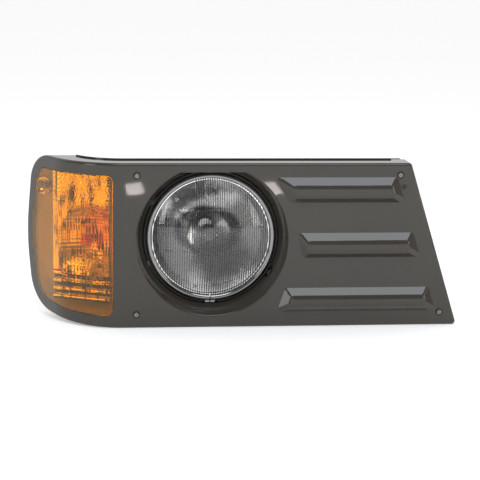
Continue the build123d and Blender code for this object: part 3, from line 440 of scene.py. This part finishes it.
for nub_angle in (132, 252, 372):
    nub_x, nub_z = nub_circle * cos(radians(nub_angle)), nub_circle * sin(radians(nub_angle))
    nub_y = float(dome(np.array(nub_x), np.array(nub_z)))
    nub_profile = [
        (0, nub_y + 1.0), (nub_radius, nub_y + 1.0), (nub_radius, nub_y - 0.6),
        (nub_radius - 0.6, nub_y - 1.4), (0, nub_y - 1.6)]
    nubs.append(turned(nub_profile, 24, (nub_x, nub_z)))
lens_parts = [
    (front_face, grid_faces(rows, columns)),
    (rear_face, grid_faces(rows, columns)),
    (np.stack([front_face[0], rear_face[0]]), edge_quads),
    (np.stack([front_face[-1], rear_face[-1]]), edge_quads),
]
lens_piece = build("headlamp_glass", lens_parts, "headlamp", [glass])
build("headlamp_aiming_nubs", nubs, "headlamp", [glass])
rim_inner = lens_edge + 0.05
rim_front, rim_back = -42.9, -39.2
rim_profile = [
    (rim_inner, rim_front), (flange_radius, rim_front), (flange_radius, rim_back), (rim_inner, rim_back)]
build("headlamp_glass_flange", [turned(rim_profile, 160)], "headlamp", [glass])
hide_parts("headlamp_lens")

# Inside the lamp: a quartz capsule with its filament, in front of it a dull metal cup that
# stops direct glare, both held on two stout wires that come through the back of the bowl.
quartz, tree, shader = new_material("quartz_glass", {
    "Base Color": srgb("fbfbfb"), "Transmission Weight": 1.0, "IOR": 1.46, "Roughness": 0.01})
dress(["headlamp_capsule", "marker_bulb_glass"], quartz)
nickel, tree, shader = new_material("dull_nickel_plate", {"Metallic": 1.0, "Base Color": srgb("6e6c69")})
tree.links.new(between(tree, noise(tree, 2 * mm), 0.3, 0.5), shader.inputs["Roughness"])
dress(["glare_shield", "capsule_posts"], nickel)
tungsten, tree, shader = new_material("tungsten_wire", {
    "Metallic": 1.0, "Base Color": srgb("cdbd8e"), "Roughness": 0.35})
dress(["headlamp_filament", "turn_bulb_filament", "marker_bulb_filament"], tungsten)
insulator, tree, shader = new_material("brown_moulded_insulator", {"Roughness": 0.55})
insulator_colour = tint(tree, noise(tree, 3 * mm), [(0.3, "2a211c"), (0.7, "38302a")])
tree.links.new(insulator_colour, shader.inputs["Base Color"])
dress(["headlamp_base"], insulator)

# Retaining ring: polished stainless strip rolled to a rounded bead, split at the bottom.
stainless, tree, shader = new_material("polished_stainless", {"Metallic": 1.0, "Base Color": srgb("8d8c8a")})
tree.links.new(between(tree, noise(tree, 5 * mm), 0.10, 0.18), shader.inputs["Roughness"])
dress(["retaining_ring"], stainless)
black_steel, tree, shader = new_material("satin_black_steel", {"Base Color": srgb("0f0f10")})
tree.links.new(between(tree, noise(tree, 3 * mm), 0.35, 0.5), shader.inputs["Roughness"])
dress(["seat_ring", "vertical_aim_screw", "horizontal_aim_screw", "ring_clamp_screw"], black_steel)
acetal, tree, shader = new_material("white_acetal", {"Base Color": srgb("dedbd0"), "IOR": 1.48})
tree.links.new(between(tree, noise(tree, 2 * mm), 0.35, 0.5), shader.inputs["Roughness"])
dress(["aim_nuts"], nylon_black)
dress(["pivot_ball", "pivot_socket", "aim_bushes"], acetal)

# Signal lamp housing: light grey ABS box behind the amber lens, with two twist-in sockets.
housing_abs, tree, shader = new_material("light_grey_abs", {"IOR": 1.53})
housing_colour = tint(tree, noise(tree, 25 * mm), [(0.3, "cfcfcd"), (0.7, "d8d8d6")])
tree.links.new(housing_colour, shader.inputs["Base Color"])
tree.links.new(between(tree, noise(tree, 3 * mm), 0.35, 0.5), shader.inputs["Roughness"])
dress(["signal_housing"], housing_abs)
grey_nylon, tree, shader = new_material("grey_moulded_nylon", {"Base Color": srgb("6d6e70"), "IOR": 1.53})
tree.links.new(between(tree, noise(tree, 2 * mm), 0.4, 0.55), shader.inputs["Roughness"])
dress(["turn_socket", "marker_socket", "marker_bulb_base"], grey_nylon)
rubber, tree, shader = new_material("black_moulded_rubber", {"Base Color": srgb("17171a"), "Roughness": 0.7})
dress(["turn_socket_seal", "marker_socket_seal"], rubber)
amber_glass, tree, shader = new_material("amber_coated_glass", {
    "Base Color": srgb("ffb43c"), "Transmission Weight": 1.0, "IOR": 1.5, "Roughness": 0.03})
dress(["turn_bulb_glass"], amber_glass)
# The metallised finish's colour is painted reflection: tall dark and bright columns from noise stretched
# upright.
metallised, tree, shader = new_material("metallised_plastic_painted_reflections", {"Metallic": 1.0, "Roughness": 0.12})
painted_column_shade = noise(tree, 5 * mm, 3.0, (1, 1, 0.12))
tree.links.new(tint(tree, painted_column_shade, [(0.40, "3a3128"), (0.47, "e2e0dc"), (0.6, "ffffff")]),
               shader.inputs["Base Color"])
dress(["marker_reflector"], metallised)

# The turn lamp's reflector: a pebbled bowl in a plate that faces out along the bulb's axis,
# stepped below the bowl. It is moulded in plastic and metallised, with painted shade in the step grooves.
cant = radians(25.0)
bulb_x, bulb_z = -163.0, -8.0
housing_side_x, housing_side_y = -135.0, -8.0
wall_y = housing_side_y + (housing_side_x - bulb_x) * np.tan(cant)
reflector_bowl = 54.0
bowl_shift = 12.0
bowl_vertex_ahead = 8.5
plate_ahead = 35.5
plate_left = -48.0
plate_right_x = -143.5
plate_low, plate_top = -96.6, 89.3
plate_wall = 1.6
step_top = -52.0
step_pitch = 11.6
step_start = -62.0
step_depth = 5.0
pebbles_from = 44.0
hub_radius = 9.0


def reflector_height(a, b):
    """Distance ahead of the rear wall: a paraboloid inside the bowl's rim, the plate outside."""
    inside = np.minimum(((a - bowl_shift) ** 2 + b * b) / reflector_bowl ** 2, 1.0)
    return bowl_vertex_ahead + (plate_ahead - bowl_vertex_ahead) * inside


def pillows(a, b, pitch_a, pitch_b, depth):
    """Grid of shallow cushions: the product of two rows of humps."""
    return depth * np.abs(np.sin(pi * a / pitch_a)) * np.abs(np.sin(pi * b / pitch_b))


plate_columns, plate_rows = 150, 300
plate_v = np.linspace(0, 1, plate_rows)[:, None]
plate_z = plate_low + (plate_top - plate_low) * plate_v
plate_b = plate_z - bulb_z
plate_limit = np.full_like(plate_b, 35.0)
for _ in range(8):
    limit_height = reflector_height(plate_limit, plate_b)
    plate_limit = (plate_right_x - bulb_x + sin(cant) * limit_height) / cos(cant)
plate_a = plate_left + (plate_limit - plate_left) * np.linspace(0, 1, plate_columns)[None, :]
plate_z = plate_z + 0 * plate_a
plate_b = plate_z - bulb_z
plain_height = reflector_height(plate_a, plate_b)
plate_radius = np.hypot(plate_a - bowl_shift, plate_b)
in_bowl = plate_radius < reflector_bowl
in_steps = (plate_z < step_top) & ~in_bowl
step_place = np.abs(2 * (((plate_z - step_start) / step_pitch) % 1.0) - 1)
plate_relief = np.select(
    [in_bowl & (plate_radius > hub_radius), in_bowl, in_steps, plate_z > pebbles_from],
    [pillows(plate_a, plate_b, 5.5, 5.5, 0.55), 0 * plate_a, -step_depth * step_place ** 1.5,
     pillows(plate_a, plate_b, 9.0, 6.5, 0.9)],
    pillows(plate_a, plate_b, 7.0, 30.0, 0.4))


def from_bulb(a, z, h):
    """Points at a sideways distance, a height Z and a distance ahead of the rear wall."""
    x = bulb_x + a * cos(cant) - h * sin(cant)
    y = wall_y - a * sin(cant) - h * cos(cant)
    return np.stack([x, y, z], -1)


def sheet(front, rear):
    """Parts of a closed sheet: two grids of points and the strips that join their edges."""
    rows, columns = front.shape[:2]
    parts = [(front, grid_faces(rows, columns)), (rear, grid_faces(rows, columns))]
    for row in (0, -1):
        parts.append((np.stack([front[row], rear[row]]), grid_faces(2, columns)))
    for column in (0, -1):
        parts.append((np.stack([front[:, column], rear[:, column]]), grid_faces(2, rows)))
    return parts


plate_front = from_bulb(plate_a, plate_z, plain_height + plate_relief)
plate_rear = from_bulb(plate_a, plate_z, plain_height - plate_wall - step_depth * in_steps)
plate_parts = sheet(plate_front, plate_rear)
# The deeper half of each step groove takes a dark brown second material: painted shade in the grooves.
painted_groove_shade = in_steps & (step_place > 0.55)
other_faces = sum(len(quads) for _, quads in plate_parts[1:])
plate_marks = np.concatenate([
    painted_groove_shade[:-1, :-1].astype(np.int32).ravel(), np.zeros(other_faces, np.int32)])
groove_shade_paint, tree, shader = new_material("painted_shade_in_step_grooves", {
    "Base Color": srgb("2c1c10"), "Roughness": 0.5})
plate_piece = build("signal_bowl_plate", plate_parts, "housing",
                    [metallised, groove_shade_paint], marks=plate_marks)
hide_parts("signal_reflector")

# Amber lens: acrylic moulding that follows the bezel's bend, smooth outside. Inside it has
# pebbles at the top, tall flutes and pillows in the middle, and is plain round the corner.
face_y = -72.0
bend_x = -125.0
bend_radius = 110.0
bend_end = radians(60.0)
lens_proud = 1.5
amber_wall = 2.5
lens_inset = 17.9
lens_right = -140.4
lens_corner = 9.6
outline_corners = [(-300.0, 110.5), (42.0, 110.5), (58.5, -10.0), (42.0, -112.0), (-300.0, -152.5)]
outline_rounds = [44.0, 250.0, 56.0]


def side_curve(inset):
    """Bezel's side outline as (y, z) points, moved inwards: lines with an arc in each corner."""
    spots = np.array(outline_corners)
    found = [spots[0] + np.array((0.0, -inset))]
    for before, here, after, radius in zip(spots, spots[1:], spots[2:], outline_rounds):
        arrive = (here - before) / np.linalg.norm(here - before)
        leave = (after - here) / np.linalg.norm(after - here)
        inward_a = np.array((arrive[1], -arrive[0]))
        bend = np.arccos(np.clip(arrive @ leave, -1, 1))
        centre = here - arrive * radius * np.tan(bend / 2) + inward_a * radius
        start = np.arctan2(-inward_a[1], -inward_a[0])
        turn = np.linspace(start, start - bend, 40)
        found.append(centre + (radius - inset) * np.stack([np.cos(turn), np.sin(turn)], -1))
    last_direction = (spots[-1] - spots[-2]) / np.linalg.norm(spots[-1] - spots[-2])
    found.append(spots[-1] + inset * np.array((last_direction[1], -last_direction[0])))
    return np.vstack(found)


def plan_point(distance, radius):
    """X and Y at a distance along the bend from its start: an arc, then its tangent."""
    arc = radius * bend_end
    angle = np.minimum(distance, arc) / radius
    rest = np.maximum(distance - arc, 0)
    x = bend_x - radius * np.sin(angle) - rest * cos(bend_end)
    y = face_y + bend_radius - radius * np.cos(angle) + rest * sin(bend_end)
    return x, y, np.cos(angle), np.sin(angle)


def ramped(low, high, count, ends=0.15):
    """Numbers that run from low to high, closer together towards both ends."""
    t = np.linspace(0, 1, count)
    eased = 0.5 - 0.5 * np.cos(pi * t)
    return low + (high - low) * ((1 - ends) * t + ends * eased)


amber_columns, amber_rows = 230, 210
outline = side_curve(lens_inset)
turning = int(np.argmax(outline[:, 0]))
lens_radius = bend_radius + lens_proud
start_s = lens_radius * np.arcsin((bend_x - lens_right) / lens_radius)
s_table = np.linspace(start_s, 260, 2000)
y_table = plan_point(s_table, lens_radius)[1]
end_s = np.interp(outline[turning, 0] - 0.02, y_table, s_table)
t = np.linspace(0, 1, amber_columns)
amber_s = start_s + (end_s - start_s) * (0.5 - 0.5 * np.cos(pi * t)) * 0.5 + (end_s - start_s) * t * 0.5
plan_x, plan_y, normal_y, normal_x = plan_point(amber_s, lens_radius)
top_z = np.interp(plan_y, outline[:turning + 1, 0], outline[:turning + 1, 1])
low_z = np.interp(plan_y, outline[turning:, 0][::-1], outline[turning:, 1][::-1])
from_right = np.clip(lens_corner - (lens_right - plan_x), 0, lens_corner)
corner = lens_corner - np.sqrt(lens_corner ** 2 - from_right ** 2)
top_z = top_z - corner
low_z = low_z + corner
level_v = ramped(0, 1, amber_rows)[:, None]
amber_z = low_z + (top_z - low_z) * level_v
amber_x = plan_x + 0 * level_v
rim_distance = np.minimum(np.minimum(amber_z - low_z, top_z - amber_z), (lens_right - plan_x) + 0 * level_v)
rim_distance = np.minimum(rim_distance, (end_s - amber_s) + 0 * level_v)
edge_round = 1.4
lowered = edge_round - np.sqrt(edge_round ** 2 - np.clip(edge_round - rim_distance, 0, edge_round) ** 2)

optic_s = amber_s + 0 * level_v
behind_corner = amber_x < -212
near_marker = np.hypot(amber_x + 236, amber_z - 64) < 15
lens_pattern = np.select(
    [
        near_marker | behind_corner,
        amber_z > 38,
        amber_z > -22,
        amber_z > -66,
    ],
    [
        0.0 * amber_z,
        pillows(optic_s + 2 * np.sin(amber_z / 3.1), amber_z + 1.5 * np.sin(optic_s / 2.7), 4.6, 4.2, 0.5),
        scallop(optic_s, 8.5, 0.75),
        pillows(optic_s, amber_z, 8.5, 6.0, 0.65),
    ],
    scallop(optic_s, 8.5, 0.12) + scallop(amber_z, 11.6, 0.4),
)
inner_fade = np.clip((rim_distance - 2.6) / 1.5, 0, 1)
amber_depth = amber_wall - lens_pattern * inner_fade
outer_skin = np.stack([amber_x + normal_x * lowered, plan_y + normal_y * lowered, amber_z], -1)
inner_inset = 0.35
inner_z = low_z + inner_inset + (top_z - low_z - 2 * inner_inset) * level_v
inner_skin = np.stack([amber_x + normal_x * amber_depth, plan_y + normal_y * amber_depth, inner_z], -1)
amber, tree, shader = new_material("clear_amber_acrylic", {
    "Base Color": srgb("ffc21c"), "Transmission Weight": 1.0, "IOR": 1.49, "Roughness": 0.02})
amber_piece = build("signal_amber_lens", sheet(outer_skin, inner_skin), "housing", [amber])
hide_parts("signal_lens")
